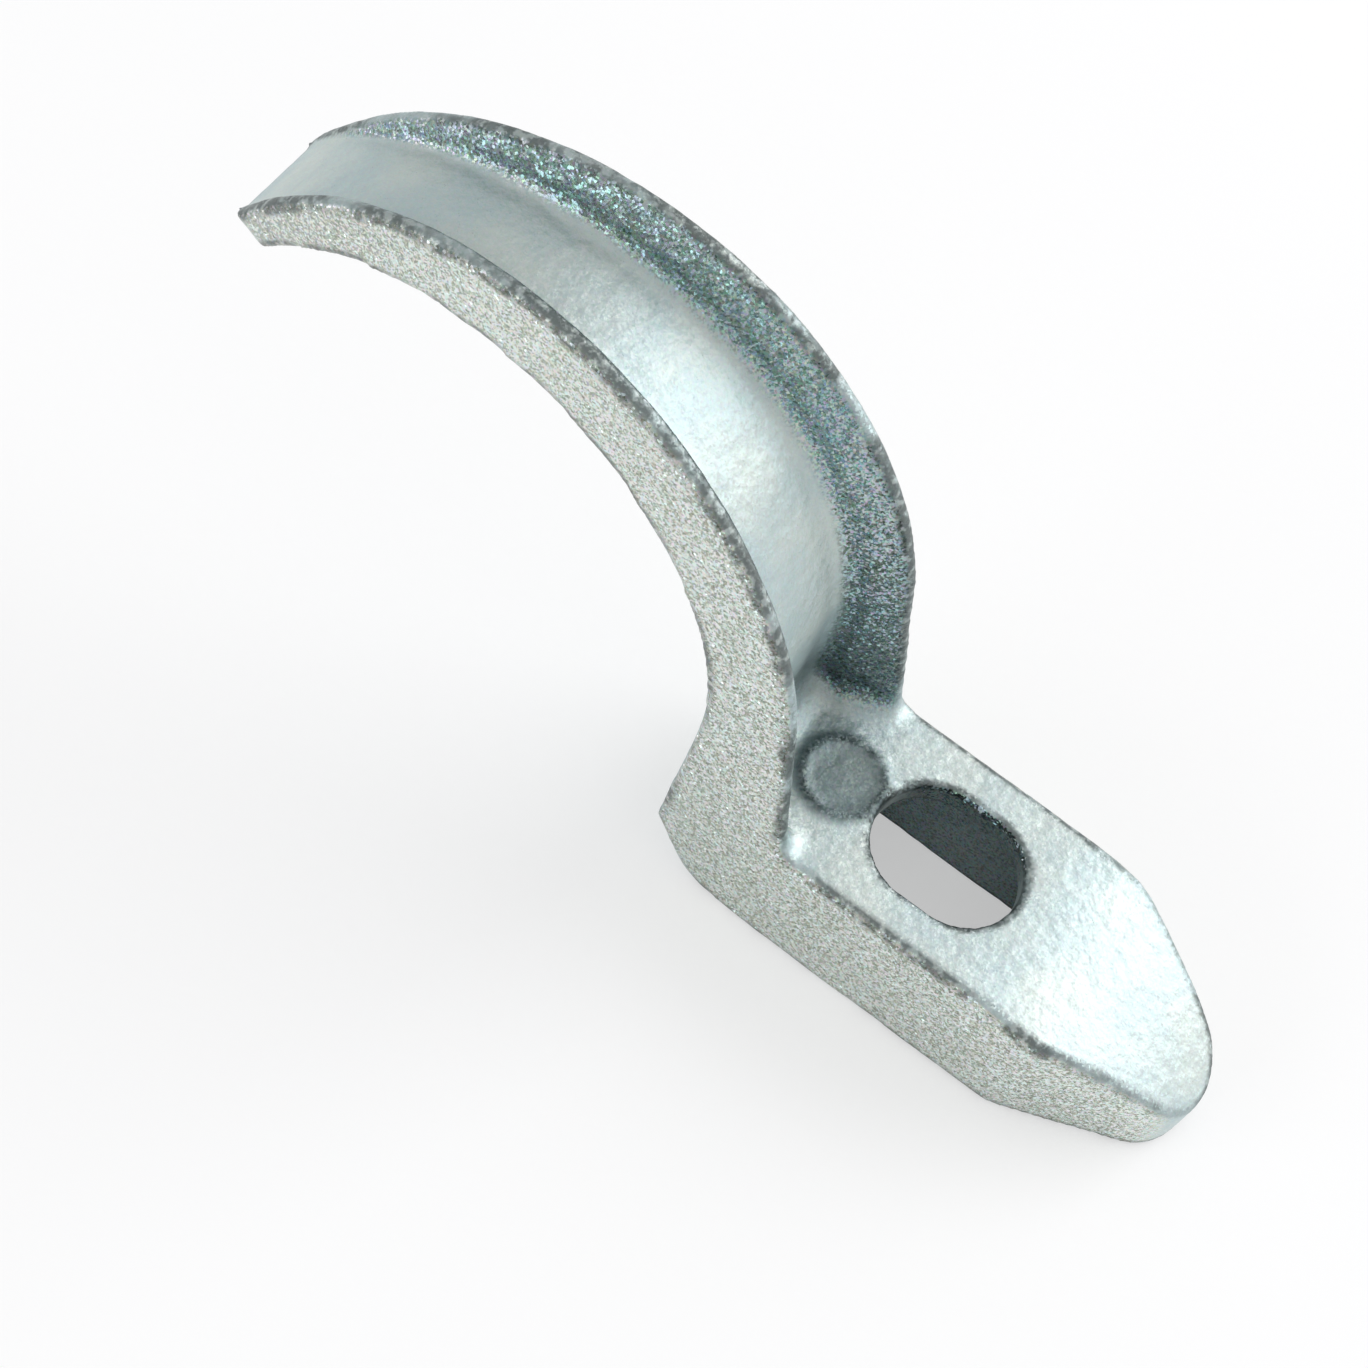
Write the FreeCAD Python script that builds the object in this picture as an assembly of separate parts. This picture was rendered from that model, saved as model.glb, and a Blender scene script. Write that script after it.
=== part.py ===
import FreeCAD, Part
import math
import os

from FreeCAD import Vector

# One-hole conduit strap: a single malleable-iron casting, zinc plated.
# It is shaped about the conduit's axis, then moved so that the origin is
# where the screw's axis meets the wall. X runs out along the foot towards
# the toe, Y along the conduit, Z away from the wall. Millimetres and degrees.

# Saddle, the round inside that lies over the conduit
saddle_radius = 32.0
axis_height = 28.3         # conduit axis above the wall that the foot stands on
tip_angle = 144.6          # the saddle runs this far round from the foot side
tip_bulge_angle = 147.4    # the blunt end swells this far round
tip_bulge_depth = 1.6      # depth of the swelling above the saddle
wall_lean = 1.5            # below the axis the wall leans in by this angle
wall_bottom = -21.3        # height of the sharp corner under the wall

# Arch, a channel that opens outwards
web_thickness = 3.7
flange_thickness = 1.9     # at its rim
flange_draft = 1.3         # each flange is this much thicker at its root
flange_height = 6.3        # from the heel to where the flange tops start to fall
rim_fall_angle = 58.0      # the flange tops fall from here to the tip
rim_fall_offset = 6.4      # their centre moves this far along that angle
tip_flange = 0.8           # the flanges have sunk to this height at the tip
rim_rounding = 0.55        # eased edges along the top of a flange
root_fillet = 2.5          # between a flange and the channel floor
heel_lean = 12.0           # the flange tops run straight down to the foot from here
heel_fillet = 4.8          # between the channel floor and the top of the foot
rim_end_fillet = 1.5       # between a flange top and the top of the foot

# Foot, a channel that opens downwards, with a long taper to a round toe
foot_width = 23.0
foot_height = 17.6
plate_thickness = 3.5
skirt_thickness = 3.0
shoulder_reach = 17.6      # from the screw to where the sides start to taper
taper_angle = 22.0
shoulder_rounding = 8.6
toe_radius = 6.7
droop_reach = 8.4          # from the screw to where the top starts to curve down
droop_radius = 40.0
underside_angle = 52.0     # slope of the underside beside the saddle
underside_rounding = 6.5
edge_rounding = 0.9        # top edge of the foot and of the toe
base_edge = 0.4            # chamfer along the bottom of the skirts
heel_wall = 10.8           # between the saddle wall and the hollow under the foot
cavity_fillet = 1.6
cavity_corner = 2.6

# Both flanks of the arch close in towards the tip, in mm per mm
arch_taper = 0.058
tip_corner = 3.6           # radius of the tip's two corners

# Slotted screw hole
screw_reach = 13.0         # from the flange ends to the middle of the slot
slot_width = 12.8
slot_length = 16.4
slot_edge = 0.4            # chamfer round its top

# Plain cast ring beside the slot
ring_reach = 13.1          # from the middle of the slot back to the ring
ring_radius = 4.3
ring_width = 0.9
ring_height = 0.3

SPARE = 1.0                # how far a cutting tool runs past a face
BLEND = 0.96               # a lofted fillet meets the foot just short of level

foot_top = foot_height - axis_height
half_width = foot_width / 2
floor_radius = saddle_radius + web_thickness
rim_radius = floor_radius + flange_height


def radians(angle):
    return math.radians(angle)


def polar(radius, angle):
    """Point in the XZ plane, at this radius and angle about the conduit."""
    return Vector(radius * math.cos(radians(angle)), 0, radius * math.sin(radians(angle)))


def heel_rim_x(z):
    """Where the straight part of the flange tops lies at height z."""
    lean = radians(heel_lean)
    return (rim_radius - z * math.sin(lean)) / math.cos(lean)


def rim_at(angle):
    """Distance of the flange tops from the conduit's axis at an angle."""
    if angle < heel_lean:
        return rim_radius / math.cos(radians(heel_lean - angle))
    if angle < rim_fall_angle:
        return rim_radius
    turn = radians(angle - rim_fall_angle)
    radius = rim_radius - rim_fall_offset
    across = rim_fall_offset * math.sin(turn)
    falling = rim_fall_offset * math.cos(turn) + math.sqrt(radius ** 2 - across ** 2)
    return max(falling, floor_radius + tip_flange)


def wall_x(z):
    """Saddle wall below the conduit's axis."""
    return saddle_radius + z * math.tan(radians(wall_lean))


heel_x = heel_rim_x(foot_top)
slot_x = heel_x + screw_reach
shoulder_x = slot_x + shoulder_reach
droop_x = slot_x + droop_reach
ring_x = slot_x - ring_reach
cavity_start = wall_x(foot_top) + heel_wall


def flank_y(x):
    """Half width of the arch at x."""
    return half_width - arch_taper * max(0.0, heel_x - x)


def flare(height, fillet):
    """How far a fillet stands out at a height above the face it runs into."""
    if height >= fillet:
        return 0.0
    rise = BLEND * (fillet - height)
    return fillet - math.sqrt(fillet ** 2 - rise ** 2)


def rounded_wire(points, radii):
    """Closed wire through the points, each corner rounded by its radius."""
    count = len(points)
    ends = []
    for i in range(count):
        corner = points[i]
        back = (points[i - 1] - corner).normalize()
        ahead = (points[(i + 1) % count] - corner).normalize()
        if radii[i] == 0:
            ends.append((corner, None, corner))
            continue
        half = back.getAngle(ahead) / 2
        reach = radii[i] / math.tan(half)
        middle = (back + ahead).normalize()
        crown = corner + middle * (radii[i] / math.sin(half) - radii[i])
        ends.append((corner + back * reach, crown, corner + ahead * reach))
    edges = []
    for i in range(count):
        start, crown, end = ends[i]
        if crown is not None:
            edges.append(Part.Arc(start, crown, end).toShape())
        following = ends[(i + 1) % count][0]
        if (following - end).Length > 1e-6:
            edges.append(Part.LineSegment(end, following).toShape())
    return Part.Wire(edges)


def prism(wire, direction):
    return Part.Face(wire).extrude(direction)


def channel_section(centre, outward, inner, floor, rim, thickness):
    """One U-shaped section of the arch, with eased rims and root fillets."""
    depth = rim - floor
    ease = min(rim_rounding, 0.4 * depth)
    fillet = min(root_fillet, 0.4 * depth)
    draft = flange_draft * depth / (rim_radius - floor_radius)
    quarter = fillet * (1 - math.cos(radians(45)))

    def place(distance, y):
        spot = centre + outward * distance
        return Vector(spot.x, y, spot.z)

    def flank(distance):
        return flank_y((centre + outward * distance).x)

    root = floor + fillet
    rim_y = flank(rim)
    root_y = flank(root) - thickness - draft
    half = [
        (inner, flank(inner)),
        (rim - ease, flank(rim - ease)),
        (rim, rim_y - ease),
        (rim, rim_y - thickness + ease),
        (rim - ease, rim_y - thickness),
        (root, root_y),
        (floor + quarter, root_y - quarter),
        (floor, root_y - fillet),
    ]
    near = [place(distance, -y) for distance, y in half]
    far = [place(distance, y) for distance, y in half]
    path = far[:6] + [far[7], near[7]] + near[5::-1]
    edges = []
    for start, end in zip(path, path[1:] + path[:1]):
        if start == far[5]:
            edges.append(Part.Arc(start, far[6], end).toShape())
        elif end == near[5]:
            edges.append(Part.Arc(start, near[6], end).toShape())
        else:
            edges.append(Part.LineSegment(start, end).toShape())
    return Part.Wire(edges)


def arch_section(angle):
    """Section on a plane through the conduit's axis."""
    outward = polar(1, angle)
    inner = saddle_radius - SPARE
    return channel_section(Vector(), outward, inner, floor_radius, rim_at(angle), flange_thickness)


def heel_section(z):
    """Level section below the conduit's axis, flaring where it meets the foot."""
    height = z - foot_top
    inner = wall_x(z) - SPARE
    floor = floor_radius + flare(height, heel_fillet)
    rim = heel_rim_x(z) + flare(height, rim_end_fillet)
    thickness = flange_thickness + flare(height, root_fillet)
    return channel_section(Vector(0, 0, z), Vector(1, 0, 0), inner, floor, rim, thickness)


def make_arch():
    """The channel, lofted from past the tip down to the top of the foot."""
    past_tip = tip_bulge_angle + 4
    steps = 10
    angles = [past_tip * (1 - i / steps) for i in range(steps + 1)]
    round_part = Part.makeLoft([arch_section(angle) for angle in angles], True, False)

    fillet_start = foot_top + heel_fillet
    straight = Part.makeLoft([heel_section(0), heel_section(fillet_start)], True, True)

    turns = 8
    heights = [heel_fillet * (1 - math.sin(radians(90 * i / turns))) for i in range(turns + 1)]
    heel = Part.makeLoft([heel_section(foot_top + height) for height in heights], True, False)
    return round_part.fuse([straight, heel]).cut([conduit_space(), tip_trim()] + tip_corners())


def tip_corners():
    """What rounds off the two corners of the tip, seen square on."""
    along = polar(1, tip_bulge_angle + 90)
    end = polar(saddle_radius, tip_bulge_angle)
    width = 2 * flank_y(end.x)
    block = 2 * tip_corner
    trims = []
    for side in (-1, 1):
        corner = Vector(end.x, side * width / 2, end.z)
        middle = corner - along * tip_corner - Vector(0, side * tip_corner, 0)
        outward = polar(1, tip_bulge_angle)
        base = middle - outward * block
        square = Part.Wire(
            Part.makePolygon(
                [
                    base,
                    base + along * block,
                    base + along * block + Vector(0, side * block, 0),
                    base + Vector(0, side * block, 0),
                    base,
                ]
            )
        )
        post = prism(square, outward * 3 * block)
        trims.append(post.cut(Part.makeCylinder(tip_corner, 4 * block, base - outward, outward)))
    return trims


def conduit_space():
    """What the arch reaches over: the conduit, and straight down beside it."""
    low = foot_top - SPARE
    far_x = -saddle_radius - SPARE
    tip = polar(saddle_radius, tip_angle + 10)
    start = Vector(saddle_radius, 0, 0)
    edges = [Part.Arc(tip, polar(saddle_radius, tip_angle / 2), start).toShape()]
    path = [start, Vector(wall_x(low), 0, low), Vector(far_x, 0, low), Vector(far_x, 0, 0), tip]
    for first, second in zip(path, path[1:]):
        edges.append(Part.LineSegment(first, second).toShape())
    wire = Part.Wire(edges)
    wire.translate(Vector(0, -foot_width, 0))
    return prism(wire, Vector(0, 2 * foot_width, 0))


def tip_trim():
    """What is cut off beyond the blunt round end of the tip."""
    saddle_end = polar(saddle_radius, tip_angle)
    bulge = polar(saddle_radius + tip_bulge_depth, tip_bulge_angle)
    rim_end_angle = tip_angle - 3
    rim_end = polar(rim_at(rim_end_angle) + SPARE, rim_end_angle)
    beyond = [
        polar(rim_radius, rim_end_angle),
        polar(rim_radius, tip_angle + 25),
        polar(saddle_radius / 2, tip_angle + 25),
        polar(saddle_radius / 2, tip_angle),
    ]
    edges = [Part.Arc(saddle_end, bulge, rim_end).toShape()]
    path = [rim_end] + beyond + [saddle_end]
    for start, end in zip(path, path[1:]):
        edges.append(Part.LineSegment(start, end).toShape())
    wire = Part.Wire(edges)
    wire.translate(Vector(0, -foot_width, 0))
    return prism(wire, Vector(0, 2 * foot_width, 0))


def taper_points(inset):
    """Half width, shoulder and apex of the tapering foot, moved in by inset."""
    half = half_width - inset
    shoulder = shoulder_x - inset * math.tan(radians(taper_angle / 2))
    apex = shoulder + half / math.tan(radians(taper_angle))
    return half, shoulder, apex


def foot_plan():
    half, shoulder, apex = taper_points(0)
    start = wall_x(wall_bottom) - SPARE
    start_half = flank_y(start)
    free_x = heel_x + rim_end_fillet
    points = [
        Vector(start, -start_half, 0),
        Vector(heel_x, -half, 0),
        Vector(free_x, -half, 0),
        Vector(shoulder, -half, 0),
        Vector(apex, 0, 0),
        Vector(shoulder, half, 0),
        Vector(free_x, half, 0),
        Vector(heel_x, half, 0),
        Vector(start, start_half, 0),
    ]
    radii = [0, 0, 0, shoulder_rounding, toe_radius, shoulder_rounding, 0, 0, 0]
    wire = rounded_wire(points, radii)
    wire.translate(Vector(0, 0, -axis_height - SPARE))
    return prism(wire, Vector(0, 0, foot_height + 2 * SPARE))


def foot_side():
    """Side view of the foot, wider than it is."""
    base = -axis_height
    far_x = shoulder_x + foot_width
    slope = math.tan(radians(underside_angle))
    wall_foot = wall_x(wall_bottom)
    slope_end = wall_foot + (wall_bottom - base) / slope
    path = rounded_wire(
        [
            Vector(wall_x(foot_top), 0, foot_top),
            Vector(wall_foot, 0, wall_bottom),
            Vector(slope_end, 0, base),
            Vector(far_x, 0, base),
            Vector(far_x, 0, foot_top),
        ],
        [0, 0, underside_rounding, 0, 0],
    )
    path.translate(Vector(0, -foot_width, 0))
    block = prism(path, Vector(0, 2 * foot_width, 0))
    return block.cut(above_top(0))


def above_top(depth):
    """Everything above the drooping top of the foot, lowered by depth."""
    level = foot_top - depth
    radius = droop_radius - depth
    centre_z = level - radius
    far_x = droop_x + 0.98 * radius
    middle_x = droop_x + 0.6 * radius

    def on_arc(x):
        return Vector(x, 0, centre_z + math.sqrt(radius ** 2 - (x - droop_x) ** 2))

    start = on_arc(droop_x)
    end = on_arc(far_x)
    top = foot_top + foot_height
    edges = [
        Part.Arc(start, on_arc(middle_x), end).toShape(),
        Part.LineSegment(end, Vector(far_x, 0, top)).toShape(),
        Part.LineSegment(Vector(far_x, 0, top), Vector(droop_x, 0, top)).toShape(),
        Part.LineSegment(Vector(droop_x, 0, top), start).toShape(),
    ]
    wire = Part.Wire(edges)
    wire.translate(Vector(0, -foot_width, 0))
    return prism(wire, Vector(0, 2 * foot_width, 0))


def make_cavity():
    """The hollow under the foot, inside the skirts and below the plate."""
    half, shoulder, apex = taper_points(skirt_thickness)
    points = [
        Vector(cavity_start, -half, 0),
        Vector(shoulder, -half, 0),
        Vector(apex, 0, 0),
        Vector(shoulder, half, 0),
        Vector(cavity_start, half, 0),
    ]
    inner_rounding = shoulder_rounding - skirt_thickness
    toe_rounding = toe_radius - skirt_thickness
    radii = [cavity_corner, inner_rounding, toe_rounding, inner_rounding, cavity_corner]
    wire = rounded_wire(points, radii)
    mouth = -axis_height - SPARE
    wire.translate(Vector(0, 0, mouth))
    roof = foot_top - plate_thickness
    hollow = prism(wire, Vector(0, 0, roof - mouth)).cut(above_top(plate_thickness))
    return hollow.makeFillet(cavity_fillet, roof_edges(hollow, mouth))


def is_upright(edge):
    box = edge.BoundBox
    return box.XLength < 0.01 and box.YLength < 0.01


def runs_across(edge):
    """True for a line straight across the foot, such as where its top starts to droop."""
    box = edge.BoundBox
    return box.XLength < 0.01 and box.XMin > cavity_start + SPARE


def roof_edges(hollow, mouth):
    """Edges all round the roof of the hollow."""
    chosen = []
    for edge in hollow.Edges:
        if edge.BoundBox.ZMax > mouth + 0.01 and not is_upright(edge) and not runs_across(edge):
            chosen.append(edge)
    return chosen


def make_slot():
    """Obround screw hole through the plate, its long way along the foot."""
    radius = slot_width / 2
    run = (slot_length - slot_width) / 2
    top = foot_top + SPARE
    depth = Vector(0, 0, -(plate_thickness + 2 * SPARE))
    left = Part.makeCylinder(radius, plate_thickness + 2 * SPARE, Vector(slot_x - run, 0, top), Vector(0, 0, -1))
    right = left.translated(Vector(2 * run, 0, 0))
    middle = Part.makePlane(2 * run, slot_width, Vector(slot_x - run, -radius, top)).extrude(depth)
    return left.fuse([middle, right]).removeSplitter()


def rim_of_foot(foot):
    """Top edges of the foot beyond the arch."""
    chosen = []
    for edge in foot.Edges:
        box = edge.BoundBox
        beyond_arch = box.XMin > heel_x + rim_end_fillet - 0.01
        on_top = box.ZMin > -axis_height + 1
        if beyond_arch and on_top and not is_upright(edge) and not runs_across(edge):
            chosen.append(edge)
    return chosen


def base_of_foot(foot):
    """Bottom edges of the foot, along its sides and round the toe."""
    chosen = []
    for edge in foot.Edges:
        box = edge.BoundBox
        if box.ZMax < -axis_height + 0.01 and box.XMin > heel_x - 0.01:
            chosen.append(edge)
    return chosen


def make_foot():
    """The foot, with its top edge rounded from the arch to the toe and back."""
    whole = foot_side().common(foot_plan())
    split_x = heel_x + rim_end_fillet
    corner = Vector(split_x - 2 * foot_width, -foot_width, -axis_height - SPARE)
    heel_side = Part.makeBox(2 * foot_width, 2 * foot_width, axis_height, corner)
    toe = whole.cut(heel_side)
    toe = toe.makeFillet(edge_rounding, rim_of_foot(toe))
    foot = whole.common(heel_side).fuse(toe).removeSplitter()
    return foot.makeChamfer(base_edge, base_of_foot(foot))


def rim_of_slot(strap):
    """Top edges of the screw hole."""
    chosen = []
    for edge in strap.Edges:
        box = edge.BoundBox
        level = abs(box.ZMin - foot_top) + abs(box.ZMax - foot_top) < 0.01
        around = abs(box.Center.x - slot_x) < slot_length / 2 and box.YLength < slot_width + 0.01
        within = max(abs(box.YMin), abs(box.YMax)) < slot_width / 2 + 0.01
        if level and around and within:
            chosen.append(edge)
    return chosen


def make_ring():
    """Raised flat ring on the top of the foot."""
    base = Vector(ring_x, 0, foot_top - SPARE)
    outer = Part.makeCylinder(ring_radius + ring_width / 2, ring_height + SPARE, base)
    inner = Part.makeCylinder(ring_radius - ring_width / 2, ring_height + 2 * SPARE, base)
    return outer.cut(inner)


def make_strap():
    strap = make_foot().fuse(make_arch())
    strap = strap.cut([make_cavity(), make_slot()])
    strap = strap.makeChamfer(slot_edge, rim_of_slot(strap))
    strap = strap.fuse(make_ring()).Solids[0]
    strap.translate(Vector(-slot_x, 0, axis_height))
    return strap


def write(shape, name):
    os.makedirs("parts", exist_ok=True)
    shape.exportStep(os.path.join("parts", name + ".step"))


write(make_strap(), "strap_body")
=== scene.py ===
import bpy
import math
import numpy as np
from mathutils import Matrix, Vector, noise


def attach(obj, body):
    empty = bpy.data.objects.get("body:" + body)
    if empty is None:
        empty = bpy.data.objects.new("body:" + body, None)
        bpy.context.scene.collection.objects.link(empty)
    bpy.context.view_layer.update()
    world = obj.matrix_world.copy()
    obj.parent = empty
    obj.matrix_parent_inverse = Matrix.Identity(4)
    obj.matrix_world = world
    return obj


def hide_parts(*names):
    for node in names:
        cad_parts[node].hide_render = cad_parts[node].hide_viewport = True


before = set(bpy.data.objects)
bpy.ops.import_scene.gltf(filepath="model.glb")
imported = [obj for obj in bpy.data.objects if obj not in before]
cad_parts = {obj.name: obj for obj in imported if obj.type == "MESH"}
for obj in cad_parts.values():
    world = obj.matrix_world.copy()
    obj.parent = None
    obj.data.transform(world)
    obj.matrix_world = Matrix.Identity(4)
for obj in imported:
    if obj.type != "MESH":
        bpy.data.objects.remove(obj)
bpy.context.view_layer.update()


# ---------------------------------------------------------------------------
# The strap: one malleable-iron casting, electroplated with bright zinc.
# Poured in a sand mould, so every face is slightly uneven and every edge
# soft; the plating follows the sand's grain and glints in specks.
# ---------------------------------------------------------------------------

def colour(code):
    """Linear RGBA from a hex sRGB code."""
    channels = [int(code[i:i + 2], 16) / 255 for i in (0, 2, 4)]
    linear = [c / 12.92 if c <= 0.04045 else ((c + 0.055) / 1.055) ** 2.4 for c in channels]
    return (*linear, 1.0)


def add(tree, kind, inputs=None, **settings):
    """A shader node with its settings and its linked or fixed inputs."""
    made = tree.nodes.new(kind)
    for name, value in settings.items():
        setattr(made, name, value)
    for name, value in (inputs or {}).items():
        if isinstance(value, bpy.types.NodeSocket):
            tree.links.new(value, made.inputs[name])
        else:
            made.inputs[name].default_value = value
    return made


def ramp(tree, fac, low, high, out_low=0.0, out_high=1.0):
    """A value mapped smoothly from one range to another."""
    made = add(tree, "ShaderNodeMapRange", {
        "Value": fac, "From Min": low, "From Max": high, "To Min": out_low, "To Max": out_high},
        interpolation_type="SMOOTHSTEP")
    return made.outputs["Result"]


def mix(tree, fac, first, second):
    """Two colours mixed."""
    made = add(tree, "ShaderNodeMix", {0: fac, 6: first, 7: second}, data_type="RGBA")
    return made.outputs[2]


def combine(tree, first, second, operation="ADD"):
    """Two values combined by a maths node."""
    return add(tree, "ShaderNodeMath", {0: first, 1: second}, operation=operation).outputs[0]


def per_metre(size_mm):
    """The pattern scale at which one repeat is this many millimetres across."""
    return 1000.0 / size_mm


def facing_masks(tree, place):
    """Where a face looks outwards on a flank, and where it lines the inside of a flange."""
    geometry = add(tree, "ShaderNodeNewGeometry")
    facing = add(tree, "ShaderNodeSeparateXYZ", {"Vector": geometry.outputs["Normal"]})
    side = add(tree, "ShaderNodeMath", {0: place.outputs["Y"]}, operation="SIGN").outputs[0]
    outward = combine(tree, facing.outputs["Y"], side, "MULTIPLY")
    return ramp(tree, outward, 0.5, 0.9), ramp(tree, outward, -0.35, -0.85)


def tilted_facets(tree, cells, lumps, flank, inside, edge):
    """A normal that each facet of plating tilts its own way, most on the rough sides."""
    rough_sides = combine(tree, combine(tree, flank, 0.75, "MULTIPLY"),
                          combine(tree, inside, 0.5, "MULTIPLY"))
    amount = combine(tree, rough_sides, 0.10)
    amount = combine(tree, amount, combine(tree, edge, 0.35, "MULTIPLY"))
    tilt = add(tree, "ShaderNodeVectorMath", {0: cells.outputs["Color"], 1: (0.5, 0.5, 0.5)},
               operation="SUBTRACT").outputs[0]
    scaled = add(tree, "ShaderNodeVectorMath", {0: tilt, "Scale": amount},
                 operation="SCALE").outputs[0]
    bump = add(tree, "ShaderNodeBump", {
        "Height": lumps.outputs["Fac"], "Strength": 0.3, "Distance": 0.0004})
    leaning = add(tree, "ShaderNodeVectorMath", {0: bump.outputs["Normal"], 1: scaled},
                  operation="ADD")
    return add(tree, "ShaderNodeVectorMath", {0: leaning.outputs[0]},
               operation="NORMALIZE").outputs[0]


def film_colour_and_painted_shade(tree, where, place, cloud, cells, flank, inside):
    """Pale blue-green film with painted light on it: paler and greyer on the flanks, partly as
    painted brightness, and darkened to teal inside the flanges and where the casting shelters it,
    as painted shade.
    """
    film = mix(tree, ramp(tree, cloud.outputs["Fac"], 0.35, 0.65),
               colour("C3D2D3"), colour("D0DAD7"))
    # partly painted brightness: the outward flanks get a paler, greyer film that stands in for the
    # light they reflect, on top of their own tone
    film = mix(tree, flank, film, colour("E2EAE1"))
    # painted shade: the faces lining the inside of each flange are darkened towards teal
    film = mix(tree, combine(tree, inside, 0.45, "MULTIPLY"), film, colour("8FAAAA"))

    # painted shade: the heel and the foot of each flange turn dark teal where ambient occlusion
    # finds them sheltered, but not the slot or the hollow below
    reach_of_shelter = 0.012
    foot_top_low, foot_top_high = 0.0168, 0.0180
    shade = add(tree, "ShaderNodeAmbientOcclusion", {"Distance": reach_of_shelter}, samples=8)
    above_foot = ramp(tree, place.outputs["Z"], foot_top_low, foot_top_high)
    painted_shade_where_sheltered = combine(tree, ramp(tree, shade.outputs["AO"], 0.86, 0.42), above_foot, "MULTIPLY")
    film = mix(tree, combine(tree, painted_shade_where_sheltered, 0.9, "MULTIPLY"), film, colour("2C4145"))

    # the stained round inside the raised ring
    ring_middle = (-0.0131, 0.0, 0.0176)
    stain_fades, stain_full = 0.0058, 0.0044
    reach = add(tree, "ShaderNodeVectorMath", {0: where, 1: ring_middle},
                operation="DISTANCE").outputs["Value"]
    stained = combine(tree, ramp(tree, reach, stain_fades, stain_full), 0.62, "MULTIPLY")
    film = mix(tree, stained, film, colour("3C5154"))

    # faint colour of its own on each facet, least in the smooth channel
    tint = mix(tree, 0.55, (0.5, 0.5, 0.5, 1.0), cells.outputs["Color"])
    speckled_sides = combine(tree, flank, combine(tree, inside, 0.5, "MULTIPLY"), "MAXIMUM")
    strength = ramp(tree, speckled_sides, 0.0, 1.0, 0.10, 0.75)
    return add(tree, "ShaderNodeMix", {0: strength, 6: film, 7: tint},
               data_type="RGBA", blend_type="OVERLAY").outputs[2]


def pits_grains_painted_shade_and_reflection(tree, place, specks, lumps, cloud, rough, edge):
    """Pits anywhere, dark grains on the rough sides, denser towards the tip as painted shade, and a
    ragged painted dark reflection along the edges.
    """
    pits = combine(tree, ramp(tree, specks.outputs["Distance"], 0.16, 0.06),
                   ramp(tree, lumps.outputs["Fac"], 0.55, 0.60), "MULTIPLY")
    chance = add(tree, "ShaderNodeSeparateColor", {"Color": specks.outputs["Color"]}).outputs["Red"]
    # the real grain, made denser from the crest towards the tip so that the flank darkens there:
    # painted shade
    crest, tip = -0.058, -0.084
    grain_cutoff_with_painted_tip_shade = ramp(tree, place.outputs["X"], crest, tip, 0.78, 0.45)
    grains = combine(tree, combine(tree, chance, grain_cutoff_with_painted_tip_shade, "GREATER_THAN"), rough, "MULTIPLY")
    grains = combine(tree, grains, 0.42, "MULTIPLY")
    # painted reflection: a ragged dark line along the convex edges, broken up by the lumps and the
    # cloud
    painted_edge_reflection = combine(tree, edge, ramp(tree, lumps.outputs["Fac"], 0.36, 0.52, 0.45, 1.0), "MULTIPLY")
    painted_edge_reflection = combine(tree, painted_edge_reflection, ramp(tree, cloud.outputs["Fac"], 0.40, 0.52, 0.30, 1.0), "MULTIPLY")
    painted_edge_reflection = combine(tree, painted_edge_reflection, 0.72, "MULTIPLY")
    return combine(tree, combine(tree, pits, grains, "MAXIMUM"), painted_edge_reflection, "MAXIMUM")


def zinc_plated_casting():
    """Bright zinc on sand-cast iron: facets of plating tilt each way, so they glint."""
    material = bpy.data.materials.new("bright_zinc_on_sand_cast_iron")
    material.use_nodes = True
    tree = material.node_tree
    tree.nodes.clear()
    where = add(tree, "ShaderNodeTexCoord").outputs["Object"]
    place = add(tree, "ShaderNodeSeparateXYZ", {"Vector": where})
    flank, inside = facing_masks(tree, place)
    rough = combine(tree, flank, inside, "MAXIMUM")
    edge = add(tree, "ShaderNodeAttribute", attribute_name="ridge").outputs["Fac"]

    cells = add(tree, "ShaderNodeTexVoronoi", {"Vector": where, "Scale": per_metre(0.25)})
    specks = add(tree, "ShaderNodeTexVoronoi", {"Vector": where, "Scale": per_metre(0.1923)})
    lumps = add(tree, "ShaderNodeTexNoise", {
        "Vector": where, "Scale": per_metre(1.111), "Detail": 3.0})
    cloud = add(tree, "ShaderNodeTexNoise", {
        "Vector": where, "Scale": per_metre(9.09), "Detail": 4.0})

    film = film_colour_and_painted_shade(tree, where, place, cloud, cells, flank, inside)
    dark = pits_grains_painted_shade_and_reflection(tree, place, specks, lumps, cloud, rough, edge)
    skin = add(tree, "ShaderNodeBsdfPrincipled", {
        "Base Color": mix(tree, dark, film, colour("2A3335")),
        "Metallic": 1.0,
        "Roughness": ramp(tree, rough, 0.0, 1.0, 0.52, 0.27),
        "Normal": tilted_facets(tree, cells, lumps, flank, inside, edge),
    })
    add(tree, "ShaderNodeOutputMaterial", {"Surface": skin.outputs["BSDF"]})
    return material


def cast_surface(source, name, cell):
    """A finely remeshed copy of a node, with its edges softened."""
    copy = source.copy()
    copy.data = source.data.copy()
    copy.name = name
    bpy.context.collection.objects.link(copy)
    remesh = copy.modifiers.new("fine_mesh", "REMESH")
    remesh.mode = "VOXEL"
    remesh.voxel_size = cell
    soften = copy.modifiers.new("soft_edges", "SMOOTH")
    soften.factor = 0.5
    soften.iterations = 3
    graph = bpy.context.evaluated_depsgraph_get()
    mesh = bpy.data.meshes.new_from_object(copy.evaluated_get(graph))
    copy.modifiers.clear()
    copy.data = mesh
    return copy


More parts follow.
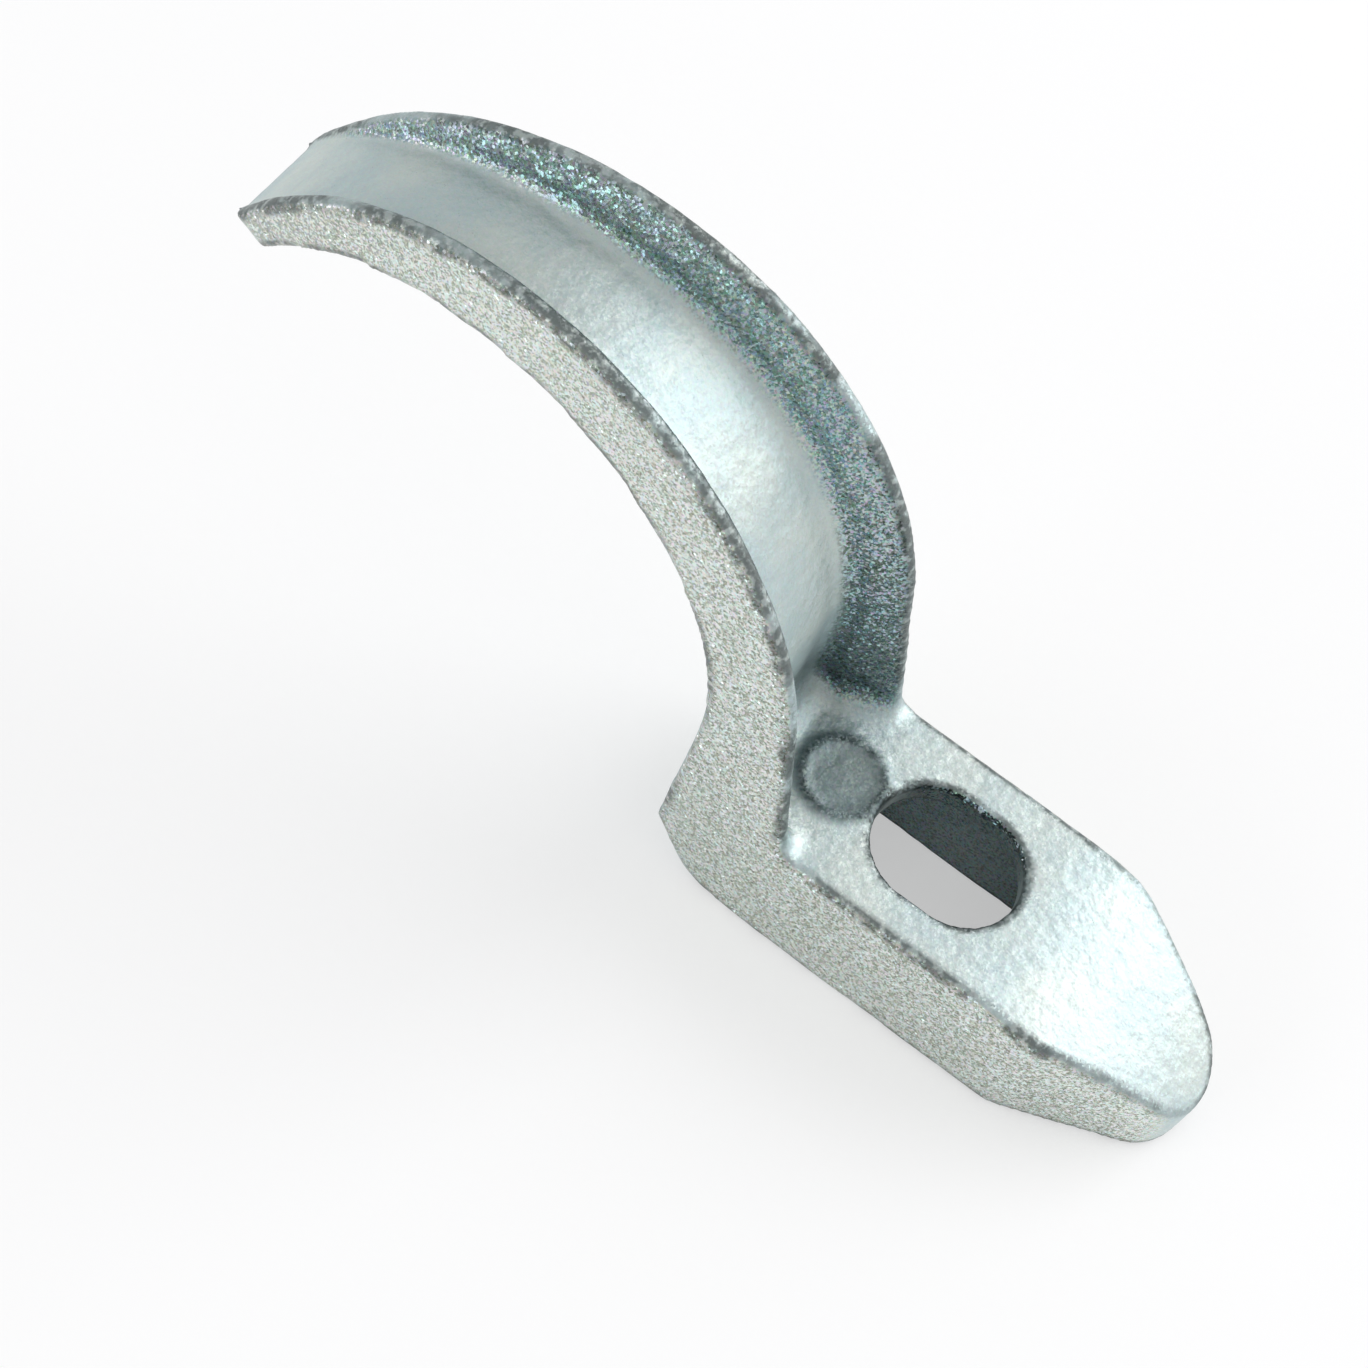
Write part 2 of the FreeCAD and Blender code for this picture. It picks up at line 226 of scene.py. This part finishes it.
def unevenness(place):
    """How far the mould's wall stood in, in metres, at a point of the casting."""
    wave_depth, grain_depth, mean_depth = 0.00008, 0.00004, 0.00006
    waves = noise.noise(place * per_metre(6.25)) * wave_depth
    grain = noise.noise(place * per_metre(10.0 / 7.0)) * grain_depth
    return min(0.0, waves + grain - mean_depth)


def share(value, start, length):
    """How far a value has come along a stretch, from 0 to 1."""
    return min(1.0, max(0.0, (value - start) / length))


def drawn_in(place):
    """The arch's far side closes in a little, more towards the tip and the crest."""
    if place.y <= 0.0:
        return place
    most = 0.09
    towards_tip = share(-place.x, start=0.015, length=0.05)
    towards_crest = share(place.z, start=0.020, length=0.025)
    return Vector((place.x, place.y * (1.0 - most * towards_tip * towards_crest), place.z))


def store_ridges(mesh, blunt, sharp):
    """Stores how sharply each vertex stands out of its neighbours, in micrometres, as 0 to 1."""
    count = len(mesh.vertices)
    points = np.empty(count * 3)
    normals = np.empty(count * 3)
    pairs = np.empty(len(mesh.edges) * 2, dtype=np.int64)
    mesh.vertices.foreach_get("co", points)
    mesh.vertex_normals.foreach_get("vector", normals)
    mesh.edges.foreach_get("vertices", pairs)
    points, normals, pairs = points.reshape(-1, 3), normals.reshape(-1, 3), pairs.reshape(-1, 2)

    def average(values):
        total = np.zeros_like(values)
        degree = np.zeros(count)
        for one, other in (pairs.T, pairs.T[::-1]):
            np.add.at(total, one, values[other])
            np.add.at(degree, one, 1.0)
        return (total.T / degree).T

    micrometres = 1e6
    bulge = average(np.einsum("ij,ij->i", points - average(points), normals) * micrometres)
    attribute = mesh.attributes.new("ridge", "FLOAT", "POINT")
    attribute.data.foreach_set("value", np.clip((bulge - blunt) / (sharp - blunt), 0.0, 1.0))


casting = cast_surface(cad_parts["strap_body"], "strap_casting", cell=0.00045)
store_ridges(casting.data, blunt=8.0, sharp=20.0)
points = [vertex.co.copy() for vertex in casting.data.vertices]
normals = [normal.vector.copy() for normal in casting.data.vertex_normals]
moved = [drawn_in(point + normal * unevenness(point)) for point, normal in zip(points, normals)]
casting.data.vertices.foreach_set("co", [value for point in moved for value in point])
casting.data.shade_smooth()
casting.data.update()
casting.data.materials.clear()
casting.data.materials.append(zinc_plated_casting())
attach(casting, "root")
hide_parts("strap_body")


# ---------------------------------------------------------------------------
# The sheet: white paper laid flat, which the strap stands on.
# It is smooth and matt, and takes the strap's shadow.
# ---------------------------------------------------------------------------

def white_paper_sheet():
    """White paper that keeps its shadows, and is lifted towards white for the camera alone."""
    material = bpy.data.materials.new("white_paper_sheet")
    material.use_nodes = True
    tree = material.node_tree
    tree.nodes.clear()
    sheet = add(tree, "ShaderNodeBsdfPrincipled", {
        "Base Color": colour("FBFBFC"), "Roughness": 0.9, "Specular IOR Level": 0.1})
    glow = add(tree, "ShaderNodeEmission", {"Color": colour("FFFFFF"), "Strength": 1.0})
    seen = add(tree, "ShaderNodeLightPath").outputs["Is Camera Ray"]
    lift = combine(tree, seen, 0.45, "MULTIPLY")
    both = add(tree, "ShaderNodeMixShader", {
        0: lift, 1: sheet.outputs["BSDF"], 2: glow.outputs["Emission"]})
    add(tree, "ShaderNodeOutputMaterial", {"Surface": both.outputs["Shader"]})
    return material


sheet_side = 6.0
bpy.ops.mesh.primitive_plane_add(size=sheet_side, location=(0.0, 0.0, 0.0))
floor = bpy.context.object
floor.name = "floor_sheet"
floor.data.materials.append(white_paper_sheet())


# ---------------------------------------------------------------------------
# The lights: a large softbox behind on the far side, a weaker one in front,
# and an even white room. Together they light the strap at a plain level.
# ---------------------------------------------------------------------------

def softbox(name, position, aim, width, height, watts):
    """A rectangular light that faces a point."""
    data = bpy.data.lights.new(name, "AREA")
    data.shape = "RECTANGLE"
    data.size = width
    data.size_y = height
    data.energy = watts
    lamp = bpy.data.objects.new(name, data)
    bpy.context.collection.objects.link(lamp)
    lamp.location = position
    lamp.rotation_euler = (Vector(aim) - Vector(position)).to_track_quat("-Z", "Y").to_euler()


strap_middle = (-0.02, 0.0, 0.03)
softbox("back_softbox", (0.60, 0.80, 0.70), strap_middle, 1.0, 1.0, 8.0)
softbox("front_softbox", (-0.55, -0.80, 0.35), strap_middle, 0.8, 0.6, 2.4)

room_strength = 0.70
world = bpy.data.worlds.new("white_room")
world.use_nodes = True
room = world.node_tree
backdrop = room.nodes["Background"]
backdrop.inputs["Color"].default_value = colour("FFFFFF")
seen = add(room, "ShaderNodeLightPath").outputs["Is Camera Ray"]
extra = combine(room, seen, 1.0 - room_strength, "MULTIPLY")
room.links.new(combine(room, extra, room_strength), backdrop.inputs["Strength"])
bpy.context.scene.world = world


# ---------------------------------------------------------------------------
# The camera: a long lens looking down on the near side from above the toe.
# It is rolled over to one side, so that the strap lies aslant.
# ---------------------------------------------------------------------------

camera = bpy.data.objects.new("camera", bpy.data.cameras.new("camera"))
bpy.context.collection.objects.link(camera)
camera.data.sensor_width = 36.0
camera.data.lens = 74.14
turn = Matrix.Rotation(math.radians(16.2), 4, "Z")
tilt = Matrix.Rotation(math.radians(29.0), 4, "X")
roll = Matrix.Rotation(math.radians(21.9), 4, "Z")
camera.matrix_world = Matrix.Translation((0.0069, -0.1345, 0.2664)) @ turn @ tilt @ roll
bpy.context.scene.camera = camera
bpy.context.scene.view_settings.view_transform = "Standard"
